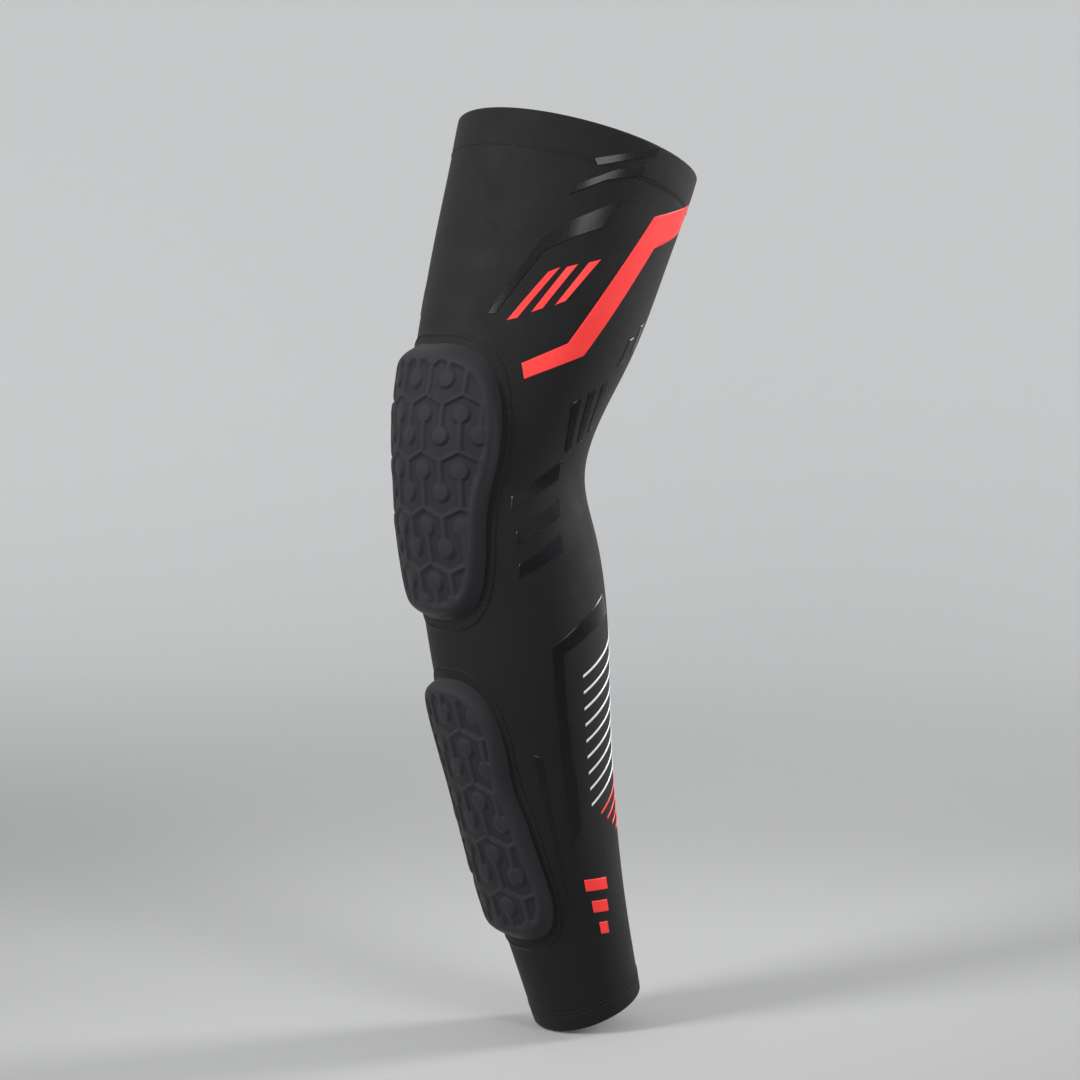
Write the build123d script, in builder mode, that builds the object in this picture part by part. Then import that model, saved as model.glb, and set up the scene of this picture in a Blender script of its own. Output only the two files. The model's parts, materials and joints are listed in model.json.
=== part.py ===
"""Padded compression leg sleeve: a knitted tube from mid-thigh to ankle, bent a little at the knee,
with a foam knee pad and a foam shin pad sewn on its front and thin printed films on its side.

The frame: +Z is up the leg, the front with its pads faces -Y, and the printed side is +X.
The origin is the centre of the thigh opening. Shapes are described from the knee's centre:
a height above it, a setback of the leg's centreline behind it, and an angle round the centreline,
0 at the front and 90 degrees at the +X side. Every layer is the leg's form at its own offset
from the fabric's outer face, cut to its outline by a wedge of rays from the centreline.
"""

import os
from math import cos, degrees, radians, sin, tan

from build123d import *

os.makedirs("parts", exist_ok=True)

# --- the leg inside (mm, degrees) -------------------------------------------------------------
thigh_length = 216.0  # knee centre up to the thigh opening's centre
shin_length = 357.0  # knee centre down to the ankle opening's centre
knee_radius = 57.0
depth_over_width = 1.02
thigh_cut_lean = 17.5  # the thigh opening's plane tips forward-up by this
ankle_cut_lean = 22.0

# (share of the length, setback in mm, girth over the knee's) for the thigh and the shin
thigh_profile = ((1.158, 76.5, 1.46), (0.907, 61.0, 1.43), (0.606, 39.5, 1.34), (0.347, 20.0, 1.22),
                 (0.162, 5.0, 1.08))
shin_profile = ((0.098, 6.0, 1.044), (0.21, 14.0, 1.053), (0.364, 21.0, 1.0), (0.56, 33.0, 0.877),
                (0.756, 49.0, 0.781), (0.936, 67.0, 0.693), (1.09, 84.0, 0.635))

# --- layers -----------------------------------------------------------------------------------
fabric_wall = 1.0
hem_wall = 2.0  # the fabric turned in once on itself
layer_gap = 0.05
film_wall = 0.25
thread_wall = 0.35
pad_backing_wall = 0.6
pad_foam_wall = 8.5
pad_cover_wall = 0.8
grip_tape_wall = 0.6
grip_bead_wall = 0.9

# --- hems, seams and the knee's bend ----------------------------------------------------------
hem_height = 25.0
ankle_hem_height = 15.0
hem_thread_height = 1.6
ankle_thread_pitch = 2.8
seam_width = 5.0
section_gap = 0.3  # between the fabric of two sections
bend_reach = 106.0  # knee centre to where the fabric starts to bend, up and down
thigh_bend_lean = 18.5
shin_bend_lean = -7.0
calf_line_share = 0.64  # of the shin, from the knee to the line between calf and ankle sleeves
calf_line_lean = -12.0

# --- pads -------------------------------------------------------------------------------------
pad_flange = 8.0
pad_thread_inset = 2.0
pad_thread_width = 2.4
# right half of each pad's outline from its top to its bottom, (angle, height)
knee_pad_outline = ((0, 88), (22, 84), (40, 66), (52, 38), (55.5, 6), (50, -28), (40, -65), (25, -84),
                    (0, -88))
shin_pad_outline = ((0, -128), (20, -131), (34, -147), (40, -185), (45, -220), (51, -260),
                    (50, -283), (32, -301), (0, -305))

# --- prints on the side, each a list of (angle, height) corners ------------------------------------
rim_bars = (((62, 206), (64.5, 213), (93.5, 214), (91.5, 208.5)),
            ((55.5, 183), (58, 190), (73.5, 199), (88.5, 202), (86, 195.5), (70, 192)))
thigh_flash = ((31, 108), (48, 155), (58, 166), (81, 181), (75, 162), (51, 147), (35, 107))
thigh_bars = (((41.5, 103.5), (46.5, 105), (60.5, 137), (55.5, 134)),
              ((52.5, 108.5), (57.5, 111), (68.5, 139), (63.5, 137)),
              ((63, 113), (67.5, 115.5), (79, 142), (73.5, 140)))
thigh_chevron = ((55, 76.5), (75.5, 89), (102, 170), (140, 181), (136, 161), (110, 150), (87, 81),
                 (59, 66.5))
back_thigh_bars = (((117, 74), (118, 91), (123, 93), (123, 77)),
                   ((127, 82), (127, 100), (132, 103), (132, 86)))
back_knee_bars = (((102, 19), (93.5, 51), (98, 55), (107, 21)),
                  ((111, 25), (102, 57.5), (106.5, 61), (116, 26)),
                  ((120, 31), (110.5, 62), (115, 65), (124.5, 34)))
side_knee_bars = (((63, -16), (65, -7.5), (100, 14.5), (100, 2.5)),
                  ((62, -39), (64, -30), (99.5, -9), (97, -21)),
                  ((60, -61), (62, -51), (94, -32), (92.5, -44)))
calf_frame = ((129, -73), (101, -88), (76, -105.5), (76, -182), (74.5, -227), (73, -239.5),
              (85.5, -226), (86.5, -191), (84.5, -175), (83.5, -111), (105, -99), (134, -87))
shin_dart = ((56.5, -176), (62, -178), (63, -228), (66, -280), (64, -281), (60, -228))
silver_stripes = 9
red_stripes = 4
stripe_pitch = 10.8
stripe_height = 1.8
stripe_rise = 27.0  # over the whole stripe
stripe_end = 150.0
silver_start = (98.0, -125.0)
red_start = (108.0, -218.0)
red_step = (8.0, -4.5)
ankle_dashes = 3
ankle_dash_first = (80.0, 103.0, -262.0)  # from angle, to angle, height
ankle_dash_height = 8.0
ankle_dash_pitch = 15.0
ankle_dash_shortening = 3.5

# --- the leg's form ---------------------------------------------------------------------------
# every station is (height above the knee's centre, setback, radius), from the top down
stations = [(share * thigh_length, setback, girth * knee_radius)
            for share, setback, girth in thigh_profile]
stations += [(0.0, 0.0, knee_radius)]
stations += [(-share * shin_length, setback, girth * knee_radius)
             for share, setback, girth in shin_profile]


def between(height, column):
    """The centreline's setback (column 1) or the radius (column 2) at a height, on straight runs."""
    for upper, lower in zip(stations, stations[1:]):
        if height >= lower[0]:
            break
    share = (height - lower[0]) / (upper[0] - lower[0])
    return lower[column] + share * (upper[column] - lower[column])


knee_forward = between(thigh_length, 1)
knee_centre = Vector(0, -knee_forward, -thigh_length)


def cross_plane(height, lean):
    """A plane across the leg at a height, its normal leaning back by an angle; +Z side is up."""
    centre = knee_centre + Vector(0, between(height, 1), height)
    return Plane(origin=centre, x_dir=(1, 0, 0), z_dir=(0, sin(radians(lean)), cos(radians(lean))))


thigh_rim = cross_plane(thigh_length, thigh_cut_lean)
thigh_hem_line = thigh_rim.offset(-hem_height)
thigh_bend_line = cross_plane(bend_reach, thigh_bend_lean)
shin_bend_line = cross_plane(-bend_reach, shin_bend_lean)
calf_line = cross_plane(-calf_line_share * shin_length, calf_line_lean)
ankle_rim = cross_plane(-shin_length, -ankle_cut_lean)
ankle_hem_line = ankle_rim.offset(ankle_hem_height)


def leg_form(offset):
    """The solid leg, its surface moved out by an offset: a loft of ellipses through the stations."""
    with BuildPart() as form:
        for height, setback, radius in stations:
            with BuildSketch(Plane(origin=knee_centre + Vector(0, setback, height))):
                Ellipse(radius + offset, depth_over_width * radius + offset)
        loft()
    return form.part


forms = {}


def form_at(offset):
    """The solid leg at an offset, lofted once and kept."""
    if offset not in forms:
        forms[offset] = leg_form(offset)
    return forms[offset]


def layer(inner, outer, above, below):
    """A shell of the leg between two offsets, kept above one plane and below another."""
    with BuildPart() as shell:
        add(form_at(outer))
        split(bisect_by=above, keep=Keep.TOP)
        split(bisect_by=below, keep=Keep.BOTTOM)
        add(form_at(inner), mode=Mode.SUBTRACT)
    return shell.part


def patch(wedges, inner, outer):
    """What wedges cut out of the shell between two offsets."""
    with BuildPart() as piece:
        add(wedges)
        add(form_at(outer), mode=Mode.INTERSECT)
        add(form_at(inner), mode=Mode.SUBTRACT)
    return piece.part


def facing_wall(heights, facing, reach):
    """A plane that faces an angle and leans with the centreline between two heights, at a share
    of the radius outside it."""
    bottom, top = min(heights), max(heights)
    middle = (bottom + top) / 2
    outwards = Vector(sin(radians(facing)), -cos(radians(facing)), 0)
    across = Vector(cos(radians(facing)), sin(radians(facing)), 0)
    along = Vector(0, between(top, 1) - between(bottom, 1), top - bottom)
    chord_setback = (between(top, 1) + between(bottom, 1)) / 2
    centre = knee_centre + Vector(0, chord_setback, middle)
    return Plane(origin=centre + outwards * (reach * between(middle, 2)), x_dir=across,
                 z_dir=across.cross(along))


def ray_point(angle, height, wall):
    """Where the level ray from the centreline at an angle and height meets a wall, on the wall."""
    start = knee_centre + Vector(0, between(height, 1), height)
    ray = Vector(sin(radians(angle)), -cos(radians(angle)), 0)
    length = (wall.origin - start).dot(wall.z_dir) / ray.dot(wall.z_dir)
    met = wall.to_local_coords(start + ray * length)
    return (met.X, met.Y)


wedge_near = 0.5  # shares of the radius, so that a wedge starts inside the wall and ends outside it
wedge_far = 2.0


def ray_wedge(corners):
    """A wedge of rays from the centreline through an outline of straight sides."""
    angles = [angle for angle, _ in corners]
    heights = [height for _, height in corners]
    with BuildPart() as wedge:
        for reach in (wedge_near, wedge_far):
            wall = facing_wall(heights, (min(angles) + max(angles)) / 2, reach)
            with BuildSketch(wall):
                with BuildLine():
                    Polyline(*[ray_point(angle, height, wall) for angle, height in corners], close=True)
                make_face()
        loft(ruled=True)
    return wedge.part


def pad_wedge(half_outline, grow=0.0):
    """A wedge of rays through a pad's outline, grown all round by a width."""
    top, bottom = half_outline[0][1], half_outline[-1][1]
    right = []
    for angle, height in half_outline:
        up_share = (2 * height - top - bottom) / (top - bottom)
        wider = degrees(grow / between(height, 2)) * (1 - min(1, up_share**2)) ** 0.5
        right.append((angle + wider, height + grow * up_share))
    left = [(-angle, height) for angle, height in right[-2:0:-1]]
    return ray_wedge(right + left)


def export(solid, name):
    """Labels a finished piece and writes it to its own file."""
    solid.label = name
    export_step(solid, f"parts/{name}.step")
    print(f"{name}: {len(solid.solids())} solids, {solid.volume / 1000:.2f} cm3")


# --- fabric tube in three lengths, with its hems ---------------------------------------------------
with BuildPart() as thigh_sleeve:
    add(layer(-fabric_wall, 0, above=thigh_bend_line.offset(section_gap / 2), below=thigh_hem_line))
export(thigh_sleeve.part, "thigh_sleeve")

with BuildPart() as knee_sleeve:
    add(layer(-fabric_wall, 0, above=shin_bend_line.offset(section_gap / 2),
              below=thigh_bend_line.offset(-section_gap / 2)))
export(knee_sleeve.part, "knee_sleeve")

with BuildPart() as calf_sleeve:
    add(layer(-fabric_wall, 0, above=calf_line, below=shin_bend_line.offset(-section_gap / 2)))
export(calf_sleeve.part, "calf_sleeve")

with BuildPart() as ankle_sleeve:
    add(layer(-fabric_wall, 0, above=ankle_hem_line, below=calf_line))
export(ankle_sleeve.part, "ankle_sleeve")

with BuildPart() as thigh_hem:
    add(layer(-hem_wall, 0, above=thigh_hem_line, below=thigh_rim))
export(thigh_hem.part, "thigh_hem")

with BuildPart() as ankle_hem:
    add(layer(-hem_wall, 0, above=ankle_rim, below=ankle_hem_line))
export(ankle_hem.part, "ankle_hem")

# --- grip inside the thigh hem: an elastic tape with a row of silicone beads --------------------------
tape_margin = 3.0
bead_height = 6.0
bead_pitch = 15.0  # degrees round the tape
bead_width = 8.0  # degrees
tape_outer = -hem_wall - layer_gap
tape_inner = tape_outer - grip_tape_wall
bead_outer = tape_inner - layer_gap
bead_line = thigh_rim.offset(-hem_height / 2)

with BuildPart() as grip_tape:
    add(layer(tape_inner, tape_outer, above=thigh_hem_line.offset(tape_margin),
              below=thigh_rim.offset(-tape_margin)))
export(grip_tape.part, "grip_tape")


def spoke(facing, width):
    """An upright wedge of a few degrees through the whole thigh, from its centreline outwards."""
    middle = knee_centre + Vector(0, between(thigh_length - hem_height / 2, 1), thigh_length)
    reach = 2 * knee_radius
    side = reach * tan(radians(width / 2))
    with BuildPart() as sector:
        with BuildSketch(Plane(origin=middle).rotated((0, 0, facing - 90)).offset(-2 * hem_height)):
            Polygon((0, 0), (reach, side), (reach, -side), align=None)
        extrude(amount=4 * hem_height)
    return sector.part


with BuildPart() as grip_beads:
    add(layer(bead_outer - grip_bead_wall, bead_outer, above=bead_line.offset(-bead_height / 2),
              below=bead_line.offset(bead_height / 2)))
    add([spoke(turn * bead_pitch, bead_width) for turn in range(round(360 / bead_pitch))],
        mode=Mode.INTERSECT)
export(grip_beads.part, "grip_beads")

# --- pads: backing, foam and a cover whose flange is sewn down ---------------------------------------
backing_outer = layer_gap + pad_backing_wall
foam_inner = backing_outer + layer_gap
foam_outer = foam_inner + pad_foam_wall
cover_inner = foam_outer + layer_gap
cover_outer = cover_inner + pad_cover_wall
flange_outer = layer_gap + pad_cover_wall
pad_thread_inner = flange_outer + layer_gap
pad_thread_grow = pad_flange - pad_thread_inset

for pad_name, outline in (("knee_pad", knee_pad_outline), ("shin_pad", shin_pad_outline)):
    export(patch(pad_wedge(outline), layer_gap, backing_outer), f"{pad_name}_backing")
    export(patch(pad_wedge(outline), foam_inner, foam_outer), f"{pad_name}_foam")

    with BuildPart() as cover:
        add(patch(pad_wedge(outline, layer_gap + pad_cover_wall), layer_gap, cover_outer))
        add(patch(pad_wedge(outline, pad_flange), layer_gap, flange_outer))
        add(patch(pad_wedge(outline, layer_gap), -fabric_wall, cover_inner), mode=Mode.SUBTRACT)
    export(cover.part, f"{pad_name}_cover")

    with BuildPart() as thread_ring:
        add(pad_wedge(outline, pad_thread_grow))
        add(pad_wedge(outline, pad_thread_grow - pad_thread_width), mode=Mode.SUBTRACT)
    thread = patch(thread_ring.part, pad_thread_inner, pad_thread_inner + thread_wall)
    export(thread, f"{pad_name}_stitching")

# --- hem stitching: one row at the thigh, two at the ankle --------------------------------------------
thread_outer = layer_gap + thread_wall

with BuildPart() as thigh_hem_stitching:
    add(layer(layer_gap, thread_outer, above=thigh_hem_line, below=thigh_hem_line.offset(hem_thread_height)))
    add([ray_wedge(bar) for bar in rim_bars], mode=Mode.SUBTRACT)
    add([mirror(ray_wedge(bar), about=Plane.YZ) for bar in rim_bars], mode=Mode.SUBTRACT)
export(thigh_hem_stitching.part, "thigh_hem_stitching")

with BuildPart() as ankle_hem_stitching:
    for row in range(2):
        row_top = ankle_hem_line.offset(-row * ankle_thread_pitch)
        add(layer(layer_gap, thread_outer, above=row_top.offset(-hem_thread_height), below=row_top))
export(ankle_hem_stitching.part, "ankle_hem_stitching")

# --- one flat seam down the back, in each length of fabric ----------------------------------------------
seam_steps = 6


def seam_wedge(top, bottom):
    """A narrow wedge of rays through the back of the leg between two heights."""
    heights = [top + (bottom - top) * step / seam_steps for step in range(seam_steps + 1)]
    half_angles = [degrees(seam_width / 2 / between(height, 2)) for height in heights]
    right = [(180 - half, height) for half, height in zip(half_angles, heights)]
    left = [(180 + half, height) for half, height in zip(half_angles, heights)]
    return ray_wedge(right + left[::-1])


seams = {
    "thigh_back_seam": (thigh_length, bend_reach / 2, thigh_hem_line,
                        thigh_bend_line.offset(section_gap / 2)),
    "knee_back_seam": (bend_reach, -bend_reach, thigh_bend_line.offset(-section_gap / 2),
                       shin_bend_line.offset(section_gap / 2)),
    "shin_back_seam": (-bend_reach / 2, -shin_length, shin_bend_line.offset(-section_gap / 2),
                       ankle_hem_line),
}
for seam_name, (top, bottom, top_plane, bottom_plane) in seams.items():
    with BuildPart() as strip:
        add(seam_wedge(top, bottom))
        split(bisect_by=bottom_plane, keep=Keep.TOP)
        split(bisect_by=top_plane, keep=Keep.BOTTOM)
    export(patch(strip.part, layer_gap, thread_outer), seam_name)

# --- prints: thin films on both sides, the -X side a mirror of the +X side --------------------------------


def stripe(start):
    """A slanted stripe's corners: from its start round towards the back, rising as it goes."""
    angle, height = start
    rise = stripe_rise * (stripe_end - angle) / (stripe_end - silver_start[0])
    return ((angle, height), (stripe_end, height + rise), (stripe_end, height + rise + stripe_height),
            (angle, height + stripe_height))


def dash(number):
    """A level dash's corners, each dash shorter than the one above."""
    first, last, height = ankle_dash_first
    first += number * ankle_dash_shortening
    last -= number * ankle_dash_shortening
    bottom = height - number * ankle_dash_pitch
    return ((first, bottom), (last, bottom), (last, bottom + ankle_dash_height),
            (first, bottom + ankle_dash_height))


silver_starts = [(silver_start[0], silver_start[1] - n * stripe_pitch) for n in range(silver_stripes)]
red_starts = [(red_start[0] + n * red_step[0], red_start[1] + n * red_step[1])
              for n in range(red_stripes)]
prints = {
    "rim_bars": rim_bars,
    "thigh_flash": (thigh_flash,),
    "thigh_bars": thigh_bars,
    "thigh_chevron": (thigh_chevron,),
    "back_thigh_bars": back_thigh_bars,
    "back_knee_bars": back_knee_bars,
    "side_knee_bars": side_knee_bars,
    "calf_frame": (calf_frame,),
    "shin_dart": (shin_dart,),
    "silver_stripes": [stripe(start) for start in silver_starts],
    "red_stripes": [stripe(start) for start in red_starts],
    "ankle_dashes": [dash(number) for number in range(ankle_dashes)],
}
for print_name, outlines in prints.items():
    wedges = [ray_wedge(outline) for outline in outlines]
    wedges += [mirror(wedge, about=Plane.YZ) for wedge in wedges]
    export(patch(wedges, layer_gap, layer_gap + film_wall), print_name)
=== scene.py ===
# %% [markdown]
# # A padded compression leg sleeve
# A sleeve like this is one knitted tube that is pulled up the leg. Foam pads are moulded under
# their own covers and sewn on its front, and thin films are pressed on its side with heat.
# Nearly every piece follows the leg, so the whole lesson rests on one function that says where
# the fabric is at an angle round the leg and a height. Each layer is that surface at its own lift.

import json

import bmesh
import bpy
import numpy as np
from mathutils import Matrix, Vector


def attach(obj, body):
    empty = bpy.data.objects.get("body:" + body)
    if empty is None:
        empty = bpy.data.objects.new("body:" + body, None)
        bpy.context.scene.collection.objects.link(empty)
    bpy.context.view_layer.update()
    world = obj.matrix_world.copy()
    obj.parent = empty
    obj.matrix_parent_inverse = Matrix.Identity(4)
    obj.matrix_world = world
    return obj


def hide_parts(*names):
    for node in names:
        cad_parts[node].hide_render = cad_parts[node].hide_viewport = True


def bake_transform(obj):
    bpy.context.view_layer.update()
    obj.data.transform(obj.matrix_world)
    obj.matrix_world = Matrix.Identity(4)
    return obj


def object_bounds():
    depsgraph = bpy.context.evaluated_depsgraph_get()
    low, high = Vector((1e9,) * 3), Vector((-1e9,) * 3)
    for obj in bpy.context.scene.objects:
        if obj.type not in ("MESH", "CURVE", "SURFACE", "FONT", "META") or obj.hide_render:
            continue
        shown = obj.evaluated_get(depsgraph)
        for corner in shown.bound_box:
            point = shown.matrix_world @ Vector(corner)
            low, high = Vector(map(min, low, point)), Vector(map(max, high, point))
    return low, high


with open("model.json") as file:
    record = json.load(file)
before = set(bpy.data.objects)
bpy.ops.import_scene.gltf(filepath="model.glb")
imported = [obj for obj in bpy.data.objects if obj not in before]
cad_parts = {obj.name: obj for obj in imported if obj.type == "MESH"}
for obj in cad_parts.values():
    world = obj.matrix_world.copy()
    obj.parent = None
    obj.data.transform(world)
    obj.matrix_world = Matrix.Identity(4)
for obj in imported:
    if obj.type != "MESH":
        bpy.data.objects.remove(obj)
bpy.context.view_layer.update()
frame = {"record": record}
MM = 0.001

# %% [markdown]
# ## The leg's form
# The leg is a stack of level ellipses, each at a height above the knee's centre with a setback
# and a radius. It could be lofted with a modifier, but then nothing else could ask where the
# surface is. A natural spline through a dozen stations gives a smooth function instead: every
# other piece calls it. The knee's centre is half way between the two hinges of the frame.

# %% The stations and a smooth curve through them
hinges = {joint["name"]: np.array(joint["pos_m"]) for joint in frame["record"]["behaviour"]["joints"]}
HINGE_SETBACK = 8.0  # the hinges lie this far behind the knee's centre, in mm
knee_centre = (hinges["upper_knee_bend"] + hinges["lower_knee_bend"]) / 2
knee_centre = knee_centre - np.array((0, HINGE_SETBACK * MM, 0))

THIGH_LENGTH = 216.0
SHIN_LENGTH = 357.0
KNEE_RADIUS = 57.0
DEPTH_OVER_WIDTH = 1.02
# share of the shin's or thigh's length, setback in mm, girth over the knee's
SHIN_PROFILE = ((1.09, 84.0, 0.635), (0.936, 67.0, 0.693), (0.756, 49.0, 0.781), (0.56, 33.0, 0.877),
                (0.364, 21.0, 1.0), (0.21, 14.0, 1.053), (0.098, 6.0, 1.044))
THIGH_PROFILE = ((0.162, 5.0, 1.08), (0.347, 20.0, 1.22), (0.606, 39.5, 1.34), (0.907, 61.0, 1.43),
                 (1.158, 76.5, 1.46))
stations = [(-share * SHIN_LENGTH, setback, girth) for share, setback, girth in SHIN_PROFILE]
stations += [(0.0, 0.0, 1.0)]
stations += [(share * THIGH_LENGTH, setback, girth) for share, setback, girth in THIGH_PROFILE]
station_height, station_setback, station_girth = np.array(stations).T


def smooth_curve(knots, values):
    """A natural cubic spline: its second derivative is found at each knot from the change of slope
    there, and each span is the cubic that has those values and second derivatives at its ends."""
    step = np.diff(knots)
    slope = np.diff(values) / step
    system = np.eye(len(knots))
    change = np.zeros(len(knots))
    for k in range(1, len(knots) - 1):
        system[k, k - 1:k + 2] = step[k - 1], 2 * (step[k - 1] + step[k]), step[k]
        change[k] = 6 * (slope[k] - slope[k - 1])
    curving = np.linalg.solve(system, change)

    def curve(x):
        """The spline's value at x: the span's cubic part and its straight part."""
        x = np.asarray(x, float)
        k = np.clip(np.searchsorted(knots, x) - 1, 0, len(knots) - 2)
        before, after, span = x - knots[k], knots[k + 1] - x, step[k]
        cubic = (curving[k] * after**3 + curving[k + 1] * before**3) / (6 * span)
        line = (values[k] / span - curving[k] * span / 6) * after
        return cubic + line + (values[k + 1] / span - curving[k + 1] * span / 6) * before

    return curve


setback_at = smooth_curve(station_height, station_setback)
radius_at = smooth_curve(station_height, station_girth * KNEE_RADIUS)
print("girths: thigh", round(2 * np.pi * float(radius_at(THIGH_LENGTH))), "mm, ankle",
      round(2 * np.pi * float(radius_at(-SHIN_LENGTH))), "mm")

# %% [markdown]
# ## Where the fabric is
# `leg_point` is the one surface of the lesson. A stretched knit isn't a perfect ellipse: it has
# slow swells of a fraction of a millimetre, which show as wandering highlights on the films. They
# are added here, once, so that every layer shares them and none cuts through another.

# %% The leg's surface
SWELL = 0.22  # mm


def leg_point(angle, height, lift=0.0):
    """A point on the leg, in metres in the frame. At an angle from the front towards +X in degrees
    and a height above the knee in mm: across is (radius + lift) times the sine, back is the
    setback less (depth + lift) times the cosine, and up is the height."""
    angle, height, lift = np.broadcast_arrays(np.asarray(angle, float), height, lift)
    turn = np.radians(angle)
    swell = SWELL * (np.sin(3 * turn + height / 31) + 0.6 * np.sin(5 * turn - height / 17 + 1.3))
    radius = radius_at(height)
    across = (radius + swell + lift) * np.sin(turn)
    back = setback_at(height) - (DEPTH_OVER_WIDTH * radius + swell + lift) * np.cos(turn)
    return np.stack((across, back, height), -1) * MM + knee_centre


def cut_height(angle, middle, lean):
    """The height at which a leaning plane cuts the fabric at each angle. The plane crosses the
    centreline at the middle height and drops by tan(lean) for each mm backwards; the height is
    put back into the plane's equation until it settles."""
    height = np.full(np.shape(angle), float(middle))
    for _ in range(25):
        back = (leg_point(angle, height)[..., 1] - knee_centre[1]) / MM - setback_at(middle)
        height = middle - back * np.tan(np.radians(lean))
    return height


THIGH_CUT_LEAN = 17.5
ANKLE_CUT_LEAN = -22.0
HEM_HEIGHT = 25.0
ANKLE_HEM_HEIGHT = 15.0


def thigh_rim(angle, below=0.0):
    """Height of the thigh opening's edge, or of a line a distance below it along the leg."""
    drop = below * np.cos(np.radians(THIGH_CUT_LEAN))
    return cut_height(angle, THIGH_LENGTH - drop, THIGH_CUT_LEAN)


def ankle_rim(angle, above=0.0):
    """Height of the ankle opening's edge, or of a line a distance above it along the leg."""
    rise = above * np.cos(np.radians(ANKLE_CUT_LEAN))
    return cut_height(angle, rise - SHIN_LENGTH, ANKLE_CUT_LEAN)


print("front of the thigh rim", leg_point(0, thigh_rim(0.0)).round(3), "m")

# %% [markdown]
# ## From arrays to pieces
# Two helpers turn arrays into meshes. `make_piece` takes corners, four-sided faces and a place on
# the flat cloth for each face corner. The cloth map is in metres at the knee's girth, because a
# tube has the same number of stitches all the way up: where the leg is wide they stretch.
# Repeated points, as at the pole of a pad, are merged so that every piece is closed.

# %% Mesh helpers
CLOTH_PER_DEGREE = 2 * np.pi * KNEE_RADIUS * MM / 360


def cloth_map(angle, height):
    """The flat cloth's coordinates in metres: round the leg at the knee's girth, and up."""
    angle, height = np.broadcast_arrays(angle, height)
    return np.stack((angle * CLOTH_PER_DEGREE, height * MM), -1)


def make_piece(name, points, faces, corner_map, normals=None, sharp=50.0, pressed=None):
    """A smooth mesh object from points, four-sided faces and one map position per face corner.
    Groove shade says how deep a pad's groove is at each point, from 0 to 1, so that its material
    can paint shade there."""
    mesh = bpy.data.meshes.new(name)
    mesh.from_pydata(points.reshape(-1, 3).tolist(), [], faces.tolist())
    layer = mesh.uv_layers.new(name="cloth")
    layer.data.foreach_set("uv", np.asarray(corner_map, np.float32).ravel())
    if normals is not None:
        stored = mesh.attributes.new("normal_wanted", "FLOAT_VECTOR", "POINT")
        stored.data.foreach_set("vector", np.asarray(normals, np.float32).ravel())
    # How deep each point lies in a groove, for the painted shade in a pad's grooves.
    if pressed is not None:
        stored = mesh.attributes.new("pressed", "FLOAT", "POINT")
        stored.data.foreach_set("value", np.asarray(pressed, np.float32).ravel())
    edit = bmesh.new()
    edit.from_mesh(mesh)
    bmesh.ops.remove_doubles(edit, verts=edit.verts, dist=2e-6)
    bmesh.ops.recalc_face_normals(edit, faces=edit.faces)
    edit.to_mesh(mesh)
    edit.free()
    mesh.shade_smooth()
    mesh.set_sharp_from_angle(angle=np.radians(sharp))
    if normals is not None:
        wanted = np.zeros(3 * len(mesh.vertices), np.float32)
        mesh.attributes["normal_wanted"].data.foreach_get("vector", wanted)
        mesh.attributes.remove(mesh.attributes["normal_wanted"])
        mesh.normals_split_custom_set_from_vertices(wanted.reshape(-1, 3))
    piece = bpy.data.objects.new(name, mesh)
    bpy.context.scene.collection.objects.link(piece)
    return piece


def grid_faces(rows, columns, wrap_rows=False, wrap_columns=False):
    """Corner numbers of the quads of a grid, and the (row, column) step of each quad."""
    row, column = np.meshgrid(np.arange(rows if wrap_rows else rows - 1),
                              np.arange(columns if wrap_columns else columns - 1), indexing="ij")
    next_row, next_column = (row + 1) % rows, (column + 1) % columns
    faces = np.stack((row * columns + column, row * columns + next_column,
                      next_row * columns + next_column, next_row * columns + column), -1)
    return faces.reshape(-1, 4), row.ravel(), column.ravel()


AROUND = 240


def carry_round(name, profile, bottom, top, turns=AROUND):
    """A closed profile carried round the leg. Each point of the profile is (share, rise, lift): it
    stands at bottom + share x (top - bottom) + rise, that far out from the fabric. The ring's
    heights may change with the angle, so bottom and top are functions of it."""
    angle = np.arange(turns) * 360 / turns
    share, rise, lift = np.array(profile).T[..., None]
    height = bottom(angle) + share * (top(angle) - bottom(angle)) + rise
    points = leg_point(angle, height, lift)
    faces, row, column = grid_faces(len(profile), turns, True, True)
    corner_row = np.stack((row, row, row + 1, row + 1), -1) % len(profile)
    corner_column = np.stack((column, column + 1, column + 1, column), -1)
    flat = cloth_map(corner_column * 360 / turns, height[corner_row, corner_column % turns])
    return make_piece(name, points, faces, flat)


def fold(outer, inner, steps=5):
    """Half a circle from an outer lift to an inner one: (rise, lift) of a folded or rounded edge."""
    turn = np.linspace(0, np.pi, steps + 2)[1:-1]
    middle, half = (outer + inner) / 2, (outer - inner) / 2
    return [(half * np.sin(a), middle + half * np.cos(a)) for a in turn]


print("helpers ready,", AROUND, "columns round the leg")

# %% [markdown]
# ## Materials: a knit that follows the cloth
# The sleeve is a fine warp knit: rows of tiny loops, each about half a millimetre. An image could
# hold it, but the pattern is only two crossed waves, so a node group works it out from the cloth
# map. It gives a height for the bump, a colour that is darker between the loops, and roughness.

# %% The knit group


def new_group(name, inputs, outputs):
    """A shader node group with named inputs (name, type, default) and outputs (name, type)."""
    group = bpy.data.node_groups.new(name, "ShaderNodeTree")
    for label, kind, value in inputs:
        group.interface.new_socket(label, in_out="INPUT", socket_type=kind).default_value = value
    for label, kind in outputs:
        group.interface.new_socket(label, in_out="OUTPUT", socket_type=kind)
    return group, group.nodes.new("NodeGroupInput"), group.nodes.new("NodeGroupOutput")


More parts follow.
